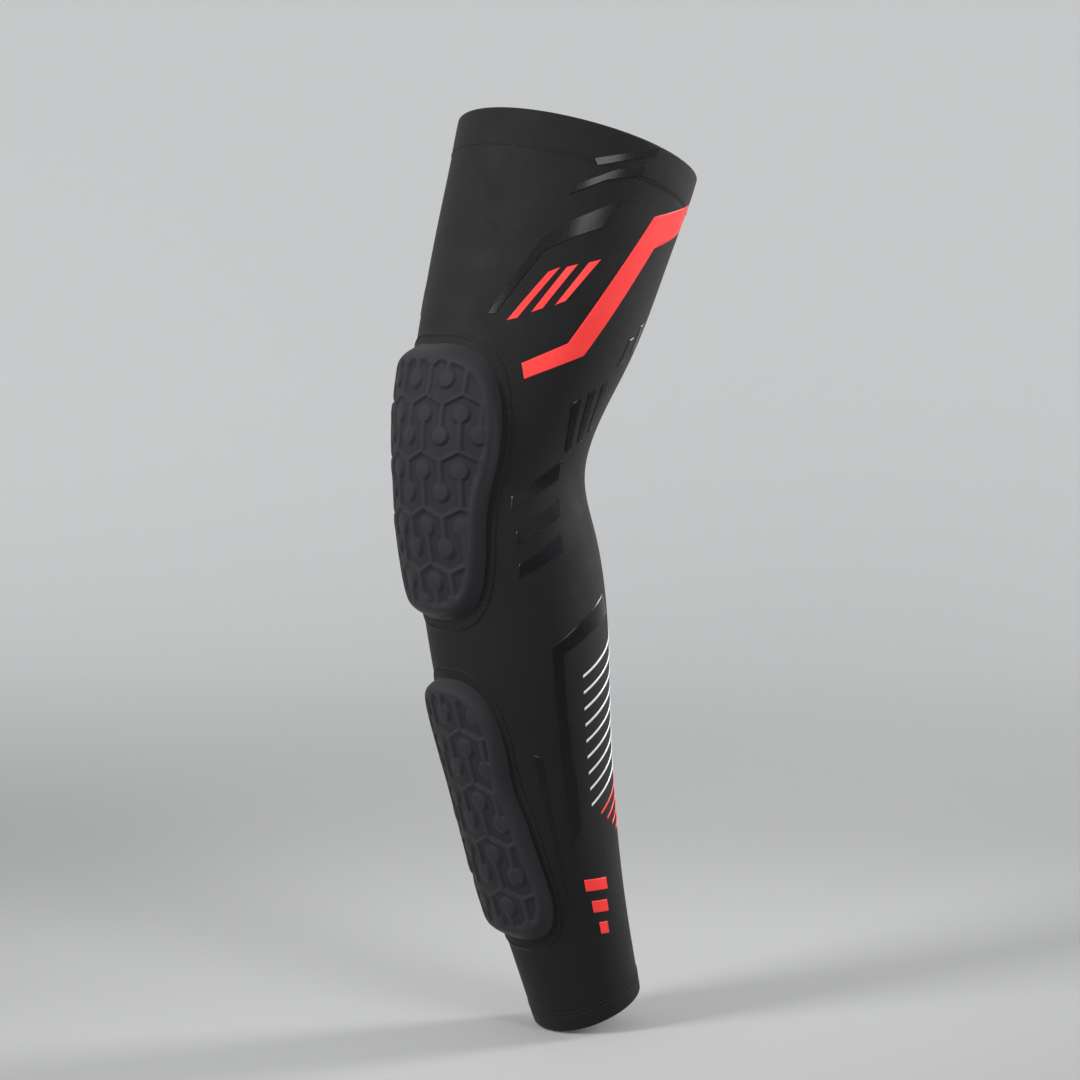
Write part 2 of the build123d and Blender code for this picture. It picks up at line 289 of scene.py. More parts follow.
def wire(tree, node, **inputs):
    """Links or sets a node's inputs by name, with _ for a space, and returns the node."""
    for label, value in inputs.items():
        socket = node.inputs[int(label[1:]) if label[1:].isdigit() else label.replace("_", " ")]
        if isinstance(value, bpy.types.NodeSocket):
            tree.links.new(value, socket)
        else:
            socket.default_value = value
    return node


def maths(tree, operation, *values):
    """One Math node; returns its output."""
    node = tree.nodes.new("ShaderNodeMath")
    node.operation = operation
    wire(tree, node, **{f"n{k}": value for k, value in enumerate(values)})
    return node.outputs[0]


def remap(tree, value, low, high, to_low, to_high):
    """A Map Range node, clamped; returns its output."""
    node = tree.nodes.new("ShaderNodeMapRange")
    wire(tree, node, Value=value, From_Min=low, From_Max=high, To_Min=to_low, To_Max=to_high)
    return node.outputs[0]


def blend_colours(tree, factor, first, second):
    """A Mix node for colours; returns its output."""
    node = tree.nodes.new("ShaderNodeMix")
    node.data_type = "RGBA"
    wire(tree, node, n0=factor, n6=first, n7=second)
    return node.outputs[2]


def noise(tree, vector, scale, detail=2.0, roughness=0.5):
    """A Noise Texture; returns its value output."""
    node = tree.nodes.new("ShaderNodeTexNoise")
    wire(tree, node, Vector=vector, Scale=scale, Detail=detail, Roughness=roughness)
    return node.outputs["Fac"]


def knit_group():
    """Loops in rows. Across the cloth, |sin| makes a rib for each column of loops; up it, a sine
    shifted by the rib makes the V of a loop. Their product is the height. The colour is darker
    where a pad's groove is deep: painted shade in its recesses."""
    group, given, result = new_group(
        "knit_loops",
        [("Loops", "NodeSocketFloat", 1250.0), ("Rows", "NodeSocketFloat", 1000.0),
         ("Dark", "NodeSocketColor", (0.01, 0.01, 0.01, 1)),
         ("Light", "NodeSocketColor", (0.03, 0.03, 0.03, 1)),
         ("Pressed", "NodeSocketFloat", 0.0)],
        [("Color", "NodeSocketColor"), ("Roughness", "NodeSocketFloat"), ("Height", "NodeSocketFloat")])
    cloth = wire(group, group.nodes.new("ShaderNodeUVMap")).outputs[0]
    split = wire(group, group.nodes.new("ShaderNodeSeparateXYZ"), Vector=cloth)
    across = maths(group, "MULTIPLY", split.outputs[0], given.outputs["Loops"])
    up = maths(group, "MULTIPLY", split.outputs[1], given.outputs["Rows"])
    rib = maths(group, "ABSOLUTE", maths(group, "SINE", maths(group, "MULTIPLY", across, np.pi)))
    slant = maths(group, "MULTIPLY", rib, 0.6)
    wave = maths(group, "SINE", maths(group, "MULTIPLY", maths(group, "ADD", up, slant), 2 * np.pi))
    loop = maths(group, "MULTIPLY", rib, remap(group, wave, -1.0, 1.0, 0.35, 1.0))
    place = group.nodes.new("ShaderNodeTexCoord").outputs["Object"]
    mottle = noise(group, place, 38.0, 4.0, 0.6)
    shade = maths(group, "MULTIPLY", remap(group, loop, 0.1, 0.9, 0.25, 1.0),
                  remap(group, mottle, 0.3, 0.7, 0.78, 1.0))
    # Painted shade: darker where a pad's groove is deep.
    shade = maths(group, "MULTIPLY", shade, remap(group, given.outputs["Pressed"], 0.0, 1.0, 1.0, 0.45))
    colour = blend_colours(group, shade, given.outputs["Dark"], given.outputs["Light"])
    rough = remap(group, mottle, 0.3, 0.7, 0.62, 0.78)
    wire(group, result, Color=colour, Roughness=rough, Height=loop)
    return group


KNIT = knit_group()
print("knit group with", len(KNIT.nodes), "nodes")

# %% [markdown]
# ## Materials: cloth, pad cover, films and thread
# The cloths use the knit group at their own gauges and have a little sheen, from the fuzz of the
# yarn. The films are smooth plastic that shows the knit under it only faintly; each has fine
# scuffs that break its gloss. Shaders stay here, outside the groups.

# %% A scuff group and the material makers


def scuff_group():
    """Two noises: a fine one for dust and rubbing, a coarse one for uneven pressing. Their mix
    changes a base colour slightly and moves roughness between two values."""
    group, given, result = new_group(
        "film_scuff",
        [("Base", "NodeSocketColor", (0.5, 0.5, 0.5, 1)), ("Worn", "NodeSocketColor", (0.5, 0.5, 0.5, 1)),
         ("Smooth", "NodeSocketFloat", 0.2), ("Scuffed", "NodeSocketFloat", 0.4)],
        [("Color", "NodeSocketColor"), ("Roughness", "NodeSocketFloat"), ("Height", "NodeSocketFloat")])
    place = group.nodes.new("ShaderNodeTexCoord").outputs["Object"]
    fine = noise(group, place, 900.0, 2.0)
    coarse = noise(group, place, 55.0, 3.0)
    worn = maths(group, "MULTIPLY", remap(group, fine, 0.4, 0.7, 0.0, 1.0),
                 remap(group, coarse, 0.35, 0.65, 0.2, 1.0))
    colour = blend_colours(group, worn, given.outputs["Base"], given.outputs["Worn"])
    spread = maths(group, "SUBTRACT", given.outputs["Scuffed"], given.outputs["Smooth"])
    rough = maths(group, "ADD", given.outputs["Smooth"], maths(group, "MULTIPLY", spread, worn))
    wire(group, result, Color=colour, Roughness=rough, Height=fine)
    return group


SCUFF = scuff_group()


def new_material(name):
    """A material with its Principled shader."""
    material = bpy.data.materials.new(name)
    material.use_nodes = True
    return material, material.node_tree, material.node_tree.nodes["Principled BSDF"]


def finish_from_group(tree, shader, group, depth, **values):
    """Places a group, wires its colour and roughness to the shader and its height to a bump."""
    node = tree.nodes.new("ShaderNodeGroup")
    node.node_tree = group
    wire(tree, node, **values)
    bump = wire(tree, tree.nodes.new("ShaderNodeBump"), Height=node.outputs["Height"],
                Distance=depth, Strength=0.8)
    wire(tree, shader, Base_Color=node.outputs["Color"], Roughness=node.outputs["Roughness"],
         Normal=bump.outputs[0])
    return node


def cloth_material(name, dark, light, loops, rows, depth, sheen, shade_grooves=False):
    """A knitted cloth: two near colours, a gauge in loops and rows per metre, and some sheen. A pad's
    cover also reads how deep each point lies in a groove, and is darker there: painted shade."""
    material, tree, shader = new_material(name)
    knit = finish_from_group(tree, shader, KNIT, depth, Loops=loops, Rows=rows, Dark=(*dark, 1),
                             Light=(*light, 1))
    # Painted shade in a pad's grooves, read from each point's groove depth.
    if shade_grooves:
        depth_of = tree.nodes.new("ShaderNodeAttribute")
        depth_of.attribute_name = "pressed"
        wire(tree, knit, Pressed=depth_of.outputs["Fac"])
    shader.inputs["Sheen Weight"].default_value = sheen
    shader.inputs["Sheen Roughness"].default_value = 0.4
    shader.inputs["Specular IOR Level"].default_value = 0.12
    return material


def film_material(name, base, worn, smooth, scuffed, coat=0.0, metal=0.0, shine=0.5):
    """A pressed film: a plain colour with scuffs, perhaps a clear coat or a metal sheen."""
    material, tree, shader = new_material(name)
    finish_from_group(tree, shader, SCUFF, 0.00002, Base=(*base, 1), Worn=(*worn, 1), Smooth=smooth,
                      Scuffed=scuffed)
    shader.inputs["Specular IOR Level"].default_value = shine
    shader.inputs["Coat Weight"].default_value = coat
    shader.inputs["Coat Roughness"].default_value = 0.12
    shader.inputs["Metallic"].default_value = metal
    return material


sleeve_knit = cloth_material("sleeve_knit", (0.0035, 0.0035, 0.004), (0.0085, 0.0085, 0.009), 1250, 1000,
                             0.00012, 0.06)
pad_knit = cloth_material("pad_knit", (0.0088, 0.0088, 0.0098), (0.019, 0.019, 0.0214), 1500, 1200,
                          0.00008, 0.06, shade_grooves=True)
lining_knit = cloth_material("lining_knit", (0.012, 0.012, 0.013), (0.03, 0.03, 0.032), 700, 700,
                             0.0002, 0.1)
thread_yarn = cloth_material("thread_yarn", (0.008, 0.008, 0.009), (0.02, 0.02, 0.022), 4000, 2500,
                             0.00006, 0.1)
foam_skin = film_material("foam_skin", (0.05, 0.05, 0.055), (0.08, 0.08, 0.085), 0.7, 0.9)
bead_silicone = film_material("bead_silicone", (0.02, 0.02, 0.022), (0.03, 0.03, 0.03), 0.25, 0.35,
                              coat=0.3)
gloss_film = film_material("gloss_film", (0.003, 0.003, 0.004), (0.006, 0.006, 0.007), 0.2, 0.34,
                           coat=0.08, shine=0.16)
red_film = film_material("red_film", (0.66, 0.027, 0.025), (0.68, 0.041, 0.037), 0.42, 0.55, shine=0.25)
silver_film = film_material("silver_film", (0.5, 0.51, 0.53), (0.4, 0.41, 0.43), 0.42, 0.55,
                            metal=0.25)
print("materials:", len(bpy.data.materials))

# %% [markdown]
# ## How a piece joins the frame
# The knee bends on two hinges, so no cloth piece can cross both: the tube is two pieces that meet
# on a level line through the knee's centre.


def settle(piece, material, slot, *nodes):
    """Gives a piece its material and hides the CAD nodes that it stands for. The slot is not used."""
    piece.data.materials.append(material)
    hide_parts(*nodes)
    return piece


def bend_with(piece):
    """Bakes a piece's transform into its mesh."""
    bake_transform(piece)
    return piece


SECTIONS = {1: "thigh_section", -1: "shin_section"}

# %% [markdown]
# ## The knitted tube
# Real cloth has two faces and an edge, so each half of the tube is a thin closed ring: up the
# outside, over the edge and down the inside. The outside dips slightly where the hem's stitches
# pull it in.

# %% Upper and lower halves of the tube
FABRIC_WALL = 1.0
STITCH_DIP = 0.35


def wall_profile(steps, inner_steps, wall):
    """A plain wall: shares 0 to 1 up the outside, then 1 to 0 down the inside."""
    outside = [(share, 0.0, 0.0) for share in np.linspace(0, 1, steps)]
    inside = [(share, 0.0, -wall) for share in np.linspace(1, 0, inner_steps)]
    return outside + inside


def level_zero(angle):
    """The level line through the knee's centre."""
    return np.zeros(np.shape(angle))


upper_tube = carry_round("upper_tube", wall_profile(72, 40, FABRIC_WALL), level_zero,
                         lambda angle: thigh_rim(angle, HEM_HEIGHT))
lower_tube = carry_round("lower_tube", wall_profile(110, 60, FABRIC_WALL),
                         lambda angle: ankle_rim(angle, ANKLE_HEM_HEIGHT), level_zero)
settle(upper_tube, sleeve_knit, "knit", "thigh_sleeve", "knee_sleeve")
settle(lower_tube, sleeve_knit, "knit", "calf_sleeve", "ankle_sleeve", "knee_sleeve")
bend_with(upper_tube)
bend_with(lower_tube)
print("tube faces:", len(upper_tube.data.polygons), len(lower_tube.data.polygons))

# %% [markdown]
# ## The hems
# A hem is the cloth turned in once and sewn down, so it is twice as thick, its edge is a round
# fold, and its outside dips at the stitches. The profile says just that, and is carried round.

# %% Thigh hem and ankle hem
HEM_WALL = 2.0
HEM_PUFF = 0.3


def hem_profile(height, edge_first, dips):
    """A hem's profile: its outside puffs out a little, but dips at each stitch line (a distance
    from its edge); a round fold at its edge; then its plain inside. Shares run from the cloth to
    the edge, or the other way for a hem at the bottom."""
    from_edge = np.linspace(height, 0.8, 40)
    dip = sum(np.exp(-((from_edge - place) / 0.9) ** 2) for place in dips)
    lift = HEM_PUFF * np.sin(np.pi * from_edge / height) ** 0.5 - STITCH_DIP * dip
    lift = np.where(from_edge > height - 0.5, 0, lift)
    outside = [(1 - place / height, 0.0, out) for place, out in zip(from_edge, lift)]
    edge = [(1.0, rise - 1.0, out) for rise, out in fold(0.05, -HEM_WALL, 7)]
    inside = [(share, 0.0, -HEM_WALL) for share in np.linspace(0.96, 0, 12)]
    profile = outside + edge + inside
    if edge_first:
        profile = [(1 - share, -rise, out) for share, rise, out in profile]
    return profile


STITCH_LINE = 24.0  # below the thigh rim
ANKLE_STITCH_LINES = (11.6, 14.2)  # above the ankle rim
thigh_hem = carry_round("thigh_hem_fold", hem_profile(HEM_HEIGHT, False, (STITCH_LINE,)),
                        lambda angle: thigh_rim(angle, HEM_HEIGHT), thigh_rim)
ankle_hem = carry_round("ankle_hem_fold", hem_profile(ANKLE_HEM_HEIGHT, True, ANKLE_STITCH_LINES),
                        ankle_rim, lambda angle: ankle_rim(angle, ANKLE_HEM_HEIGHT))
for hem, node, section in ((thigh_hem, "thigh_hem", 1), (ankle_hem, "ankle_hem", -1)):
    settle(hem, sleeve_knit, "knit", node)
    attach(hem, SECTIONS[section])
print("hems:", thigh_hem.name, ankle_hem.name)

# %% [markdown]
# ## Grip inside the thigh hem
# An elastic tape lies inside the hem with a row of silicone beads that grip the skin. Each bead is
# an oval dome. All the beads are one array: a small dome's points, repeated at every place.

# %% Grip tape and beads
TAPE_MARGIN = 3.0
TAPE_LIFT = -HEM_WALL - 0.05
TAPE_WALL = 0.6
BEAD_COUNT = 24
BEAD_LENGTH = 8.0  # degrees round the leg
BEAD_HEIGHT = 6.0
BEAD_DOME = 0.9

tape_profile = [(share, 0.0, TAPE_LIFT) for share in np.linspace(0, 1, 6)]
tape_profile += [(share, 0.0, TAPE_LIFT - TAPE_WALL) for share in np.linspace(1, 0, 6)]
grip_tape = carry_round("grip_tape_band", tape_profile,
                        lambda angle: thigh_rim(angle, HEM_HEIGHT - TAPE_MARGIN),
                        lambda angle: thigh_rim(angle, TAPE_MARGIN))


def many_forms(name, angle, height, lift):
    """One mesh of many closed forms with round rings. The arrays are form x ring x side: where each
    point is round the leg in degrees, up it in mm, and out from it."""
    count, rings, sides = angle.shape
    points = leg_point(angle, height, lift)
    faces, _, _ = grid_faces(rings, sides, False, True)
    faces = (faces[None] + (np.arange(count) * rings * sides)[:, None, None]).reshape(-1, 4)
    return make_piece(name, points, faces, cloth_map(angle, height).reshape(-1, 2)[faces])


def domes(name, angle, height, half_angle, half_height, base, rise, rings=6, sides=16):
    """Oval domes at many places, each a quarter circle turned about its middle: a ring at turn t has
    cos(t) of the size and stands at base + rise x sin(t). A flat underside closes it."""
    t = np.linspace(0, np.pi / 2, rings)
    share = np.concatenate(([0.0], np.cos(t)))[:, None]
    out = base + rise * np.concatenate(([0.0], np.sin(t)))[:, None]
    turn = np.arange(sides) * 2 * np.pi / sides
    across = angle[:, None, None] + half_angle * share * np.cos(turn)
    up = height[:, None, None] + half_height * share * np.sin(turn)
    return many_forms(name, across, up, np.broadcast_to(out, across.shape))


bead_angles = np.arange(BEAD_COUNT) * 360 / BEAD_COUNT
grip_beads = domes("grip_bead_domes", bead_angles, thigh_rim(bead_angles, HEM_HEIGHT / 2), BEAD_LENGTH / 2,
                   BEAD_HEIGHT / 2, TAPE_LIFT - TAPE_WALL, -BEAD_DOME)
settle(grip_tape, lining_knit, "lining", "grip_tape")
settle(grip_beads, bead_silicone, "silicone", "grip_beads")
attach(grip_tape, SECTIONS[1])
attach(grip_beads, SECTIONS[1])
print("beads:", BEAD_COUNT)

# %% [markdown]
# ## The pads' outline and face
# A pad is a foam block pressed in a hot mould with its cover, so its face carries relief: round
# buttons on short stems, a groove round each, and thin ridges between them in a honeycomb.
# Sculpting or a height image would hide how it is built. Here the face is a height worked out at
# each point from its distance to the nearest button, stem and ridge, and the mesh is fine enough
# to show it. A point is measured on the unrolled pad: along the arc at the pad's radius, and up.

# %% Pad outline as a radius round its middle
PAD_RISE = 10.3  # lift of the pad's face
PAD_SHOULDER = 8.5  # width over which it rises
COVER_WALL = 0.8
FLANGE = 8.0
FLANGE_LIFT = 0.5
KNEE_PAD = {"middle": 0.0, "rows_at": -5.0,
            "outline": ((0, 88.5), (14, 88.5), (25, 85.5), (37, 77.5), (47.5, 60), (54.5, 37), (56, 16),
                        (53, 0), (46, -27), (39.5, -60), (33.5, -75), (24.5, -84.5), (13, -88), (0, -88.5))}
SHIN_PAD = {"middle": -216.5, "rows_at": -150.0,
            "outline": ((0, -128), (18, -130.5), (31, -144), (37.5, -180), (42, -220), (48, -260),
                        (48.5, -281), (40, -297), (22, -304), (0, -305))}


def unrolled(height):
    """Length along a pad for each degree round the leg at a height, in mm: the pad was made flat,
    so its cells keep their width where the leg narrows."""
    return np.radians(radius_at(height) + PAD_RISE)


def outline_radius(pad):
    """A pad's outline as a smooth function of direction: distance from the pad's middle, in mm,
    against the angle anticlockwise from +X, made by a spline through the outline's points and
    their mirror images, carried past a full turn at both ends."""
    angle, height = np.array(pad["outline"], float).T
    across = angle * unrolled(height)
    across = np.concatenate((across, -across[1:-1]))
    up = np.concatenate((height, height[1:-1])) - pad["middle"]
    direction = np.degrees(np.arctan2(up, across)) % 360
    order = np.argsort(direction)
    direction, reach = direction[order], np.hypot(across, up)[order]
    direction = np.concatenate([direction + turn for turn in (-360, 0, 360)])
    return smooth_curve(direction, np.tile(reach, 3))


def inside_by(pad, across, up):
    """Distance inside a pad's outline, in mm, and minus outside: the gap along the ray from the
    middle, times the cosine of the angle between that ray and the outline's normal."""
    direction = np.degrees(np.arctan2(up, across)) % 360
    reach = pad["radius"](direction)
    change = (pad["radius"](direction + 1) - pad["radius"](direction - 1)) / np.radians(2)
    return (reach - np.hypot(across, up)) / np.hypot(1, change / reach)


for pad in (KNEE_PAD, SHIN_PAD):
    pad["radius"] = outline_radius(pad)
print("knee pad reaches", KNEE_PAD["radius"](np.array((0.0, 90.0, 270.0))).round(1), "mm")

# %% [markdown]
# ## The honeycomb
# The relief repeats in two ways at once: along a row every cell width, and up the pad every cell
# period. So it needs no list of cells: each point asks how far it is from the nearest whole period,
# and tests one hanging button, one standing button and one stretch of the zigzag ridge.

# %% The honeycomb relief
CELL_WIDTH = 28.0  # between buttons in a row
CELL_PERIOD = 36.0  # between rows of one kind
PAIR_GAP = 13.7  # from a row of hanging buttons up to the row of standing buttons over it
BUTTON_RADIUS = 5.7
STEM_HALF_WIDTH = 1.5
RIDGE_HALF_WIDTH = 0.9
RIDGE_LOW = -16.3  # of the zigzag ridge, from a hanging row
RIDGE_HIGH = -10.0
SOFT = 1.6  # width of the slope beside each raised shape
GROOVE_DEPTH = 1.7
BUTTON_CROWN = 0.35
UNDER_BUTTON = 12.0  # a button's own stretch of the period begins this far behind its middle
UNDER_ZIGZAG = 24.0  # and the zigzag's this far under a hanging row
BORDER = 8.5  # plain band inside the outline
BORDER_FADE = 4.0  # over which the relief comes in
SHOULDER_POWER = 1.9  # how steeply the shoulder starts


def ramp(x, low, high):
    """Smooth step from 0 at low to 1 at high: 3t squared less 2t cubed."""
    t = np.clip((x - low) / (high - low), 0, 1)
    return t * t * (3 - 2 * t)


def raised(distance, half_width):
    """1 within a half width of a line or point, sloping to 0 beside it."""
    return ramp(distance, half_width + SOFT, half_width - SOFT / 2)


def nearest(x, period):
    """Signed distance to the nearest whole period."""
    return (x + period / 2) % period - period / 2


def button_and_stem(across, up, stem):
    """A round button at (0, 0) and a straight stem from it, as long as stem, upwards."""
    from_stem = np.hypot(across, up - np.clip(up, 0, stem))
    return np.maximum(raised(np.hypot(across, up), BUTTON_RADIUS), raised(from_stem, STEM_HALF_WIDTH))


def relief(pad, across, up):
    """Height of the honeycomb in mm: 0 on the buttons, stems and ridges, and down to the groove's
    depth between them. Hanging buttons sit at whole periods, with stems up to the zigzag ridge over
    them; standing ones sit half a cell to the side and a pair gap above, with stems down to the
    zigzag under them. The zigzag is low under a hanging button and high under a standing one."""
    level = up + pad["middle"] - pad["rows_at"]
    column = nearest(across, CELL_WIDTH)
    aside = nearest(across - CELL_WIDTH / 2, CELL_WIDTH)
    from_hanging = (level + UNDER_BUTTON) % CELL_PERIOD - UNDER_BUTTON
    hanging = button_and_stem(column, from_hanging, CELL_PERIOD + RIDGE_LOW)
    from_standing = (PAIR_GAP - level + UNDER_BUTTON) % CELL_PERIOD - UNDER_BUTTON
    standing = button_and_stem(aside, from_standing, PAIR_GAP - RIDGE_HIGH)
    below = (level + UNDER_ZIGZAG) % CELL_PERIOD - UNDER_ZIGZAG
    slope = (RIDGE_HIGH - RIDGE_LOW) / (CELL_WIDTH / 2)
    from_zigzag = (below - RIDGE_LOW - slope * np.abs(column)) / np.hypot(1, slope)
    shape = np.maximum(np.maximum(hanging, standing), raised(np.abs(from_zigzag), RIDGE_HALF_WIDTH))
    crown = np.clip(1 - (column**2 + from_hanging**2) / BUTTON_RADIUS**2, 0, 1)
    crown += np.clip(1 - (aside**2 + from_standing**2) / BUTTON_RADIUS**2, 0, 1)
    return BUTTON_CROWN * crown - GROOVE_DEPTH * (1 - shape)


def face_share(pad, across, up):
    """How much of the relief shows: none in the plain border, all further in."""
    return ramp(inside_by(pad, across, up), BORDER, BORDER + BORDER_FADE)


def pad_lift(pad, across, up):
    """Lift of a pad's outside: a shoulder that starts steep at the flange and turns level (1 less
    (1 - x) to a power), then the face with its relief."""
    inside = inside_by(pad, across, up)
    shoulder = 1 - (1 - np.clip(inside / PAD_SHOULDER, 0, 1)) ** SHOULDER_POWER
    pattern = relief(pad, across, up) * face_share(pad, across, up)
    return FLANGE_LIFT + (PAD_RISE - FLANGE_LIFT) * shoulder + pattern


print("one cell is", CELL_WIDTH, "x", CELL_PERIOD, "mm")

# %% [markdown]
# ## A pad as rings round its middle
# The mesh of a pad is a fan: rows are rings from the outline inwards, columns are directions. The
# rings are closer over the shoulder and even over the face. The underside is a second set of
# rings, so the piece is a closed shell. The knee pad is made in two halves that meet where the two
# halves of the tube meet; each half gets two flat ends there, and both take their normals from
# the same formula, so no line shows between them.

# %% Pad pieces
SHOULDER_RING = 0.75  # mm between rings over the flange and the shoulder
NORMAL_STEP = 0.15
FLANGE_OVERLAP = 1.2  # inside the outline, under the cover


def pad_piece(name, pad, outside, underside, start, first, last, columns, face_rows):
    """A closed piece over a pad's area between two lifts, from a start distance inside the outline,
    for directions first to last. Over the flange and shoulder a ring is a distance inside the
    outline; over the face it is a share of the way to the middle. With no face rows the piece is
    a flange alone: a band that ends just inside the outline."""
    whole = last - first >= 360
    direction = np.linspace(first, last, columns, endpoint=not whole)
    end = PAD_SHOULDER if face_rows else FLANGE_OVERLAP
    inset = np.linspace(start, end, max(3, round((end - start) / SHOULDER_RING)))
    rings = pad["radius"](direction % 360)[None] - inset[:, None]
    if face_rows:
        rings = np.concatenate((rings, rings[-1] * np.linspace(1, 0, face_rows)[1:, None]))
    across, up = rings * np.cos(np.radians(direction)), rings * np.sin(np.radians(direction))

    def place(lift_of, across, up):
        """Points of the pad, in metres, at places measured on the unrolled pad."""
        height = up + pad["middle"]
        return leg_point(across / unrolled(height), height, lift_of(pad, across, up))

    outer = place(outside, across, up)
    points = np.concatenate((place(underside, across, up)[::-1], outer))
    sideways = place(outside, across + NORMAL_STEP, up) - place(outside, across - NORMAL_STEP, up)
    upwards = place(outside, across, up + NORMAL_STEP) - place(outside, across, up - NORMAL_STEP)
    normal = np.cross(sideways, upwards)
    normal /= np.linalg.norm(normal, axis=-1, keepdims=True)
    normal[:2] = 0  # the edge keeps its own
    normals = np.concatenate((np.zeros_like(normal), normal))
    rows, columns = points.shape[:2]
    faces, _, _ = grid_faces(rows, columns, not face_rows, whole)
    if not whole:
        k = np.arange(rows // 2 - 1)
        cap = np.stack((k, k + 1, rows - 2 - k, rows - 1 - k), -1) * columns
        faces = np.concatenate((faces, cap, cap + columns - 1))
    flat = np.stack((across, up + pad["middle"]), -1) * MM
    flat = np.concatenate((flat[::-1], flat)).reshape(-1, 2)
    # How deep each point lies in a groove, from 0 to 1: the cover's material darkens it there, as painted
    # shade.
    pressed = relief(pad, across, up) / -GROOVE_DEPTH * face_share(pad, across, up)
    pressed = np.concatenate((pressed, pressed)).clip(0, 1)
    return make_piece(name, points, faces, flat[faces], normals.reshape(-1, 3), 40.0, pressed)


def flange_outside(pad, across, up):
    """The flange: thin, rounded off at its outer edge, and tucked under the cover's foot."""
    inside = inside_by(pad, across, up)
    return FLANGE_LIFT - 0.35 * ramp(-inside, FLANGE - 1.5, FLANGE) - 0.1 * ramp(inside, -1.0, 1.0)


def cover_inside(pad, across, up):
    """The cover's underside: a wall's thickness under its outside, but never under the sleeve."""
    return np.maximum(pad_lift(pad, across, up) - COVER_WALL * 1.3, 0.06)


def foam_outside(pad, across, up):
    """The foam fills the cover."""
    return np.maximum(pad_lift(pad, across, up) - COVER_WALL * 1.3 - 0.15, 0.75)


def flat_lift(value):
    """A constant lift, as a function of the pad's points."""
    return lambda pad, across, up: np.full(across.shape, value)


PAD_LAYERS = (
    # layer, outside, underside, start inside the outline, columns of half a pad, face rings
    ("cover", pad_lift, cover_inside, -0.3, 230, 62, pad_knit, "pad_cover"),
    ("flange", flange_outside, flat_lift(0.06), -FLANGE, 230, 0, sleeve_knit, "pad_cover"),
    ("foam", foam_outside, flat_lift(0.7), 1.6, 90, 24, foam_skin, "foam"),
    ("backing", flat_lift(0.65), flat_lift(0.06), 0.0, 90, 12, lining_knit, "lining"),
)
for layer, outside, underside, start, columns, face_rows, material, slot in PAD_LAYERS:
    for half, side, first in (("upper", 1, 0.0), ("lower", -1, 180.0)):
        piece = pad_piece(f"knee_pad_{layer}_{half}", KNEE_PAD, outside, underside, start, first,
                          first + 180.0, columns, face_rows)
        settle(piece, material, slot, f"knee_pad_{layer.replace('flange', 'cover')}")
        bend_with(piece)
    piece = pad_piece(f"shin_pad_{layer}_whole", SHIN_PAD, outside, underside, start, 0.0, 360.0,
                      columns * 2 - 60, face_rows)
    settle(piece, material, slot, f"shin_pad_{layer.replace('flange', 'cover')}")
    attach(piece, SECTIONS[-1])

# %% [markdown]
# ## Films pressed on with heat
# Each print is a thin film cut to a shape between two edges, so it can be a ribbon: corners along
# one edge are paired with corners along the other, and the grid between them is laid on the leg. A
# texture mask would be flat; a film of its own has an edge that catches light. Its outermost row is
# lower than the rest, which bevels it. Both sides of the sleeve carry the same films.

# %% Films
FILM_LIFT = 0.4
FILM_EDGE = 0.12
FILM_ROOT = -0.15  # its underside lies in the cloth
FILM_BEVEL = 0.45  # mm
FILM_STEP = 3.0


def closed_slab(top, bottom):
    """Points and faces of a closed slab between two grids of the same shape: both grids, and a band
    of faces round their border."""
    rows, columns = top.shape[:2]
    size = rows * columns
    number = np.arange(size).reshape(rows, columns)
    border = np.concatenate((number[0, :-1], number[:-1, -1], number[-1, :0:-1], number[:0:-1, 0]))
    after = np.roll(border, -1)
    band = np.stack((border, after, after + size, border + size), -1)
    flat_faces, _, _ = grid_faces(rows, columns)
    return (np.concatenate((top.reshape(-1, top.shape[-1]), bottom.reshape(-1, top.shape[-1]))),
            np.concatenate((flat_faces, flat_faces + size, band)))


def ribbon(first, second, raised):
    """The slab of one film, as (angle, height, lift) points and faces. It is cut crosswise about
    every film step, and its outer rows and columns are a bevel inside its outline."""
    first, second = np.array(first, float), np.array(second, float)
    middle = (first + second) / 2
    to_mm = np.stack((unrolled(middle[:, 1]), np.ones(len(middle))), -1)
    length = np.concatenate(([0.0], np.cumsum(np.linalg.norm(np.diff(middle, axis=0) * to_mm[1:], axis=1))))
    spans = [np.arange(start, end, FILM_STEP) for start, end in zip(length, length[1:])]
    along = np.unique(np.concatenate(spans + [length, [FILM_BEVEL, length[-1] - FILM_BEVEL]]).round(3))
    near, far = (np.stack([np.interp(along, length, edge[:, axis]) for axis in (0, 1)], -1)
                 for edge in (first, second))
    width = np.linalg.norm((far - near) * (to_mm[0, 0], 1), axis=1)
    bevel = np.minimum(FILM_BEVEL / np.maximum(width, 0.01), 0.3)[:, None]
    inner = np.linspace(0, 1, max(2, round(width.max() / FILM_STEP) + 1))
    share = np.concatenate((0 * bevel, bevel + inner * (1 - 2 * bevel), 0 * bevel + 1), 1)[..., None]
    place = near[:, None] + (far - near)[:, None] * share
    lift = np.full(place.shape[:2], FILM_LIFT)
    lift[0] = lift[-1] = lift[:, 0] = lift[:, -1] = FILM_EDGE
    top = np.concatenate((place, lift[..., None] + raised), -1)
    bottom = np.concatenate((place, np.full(lift.shape, FILM_ROOT)[..., None]), -1)
    return closed_slab(top, bottom)


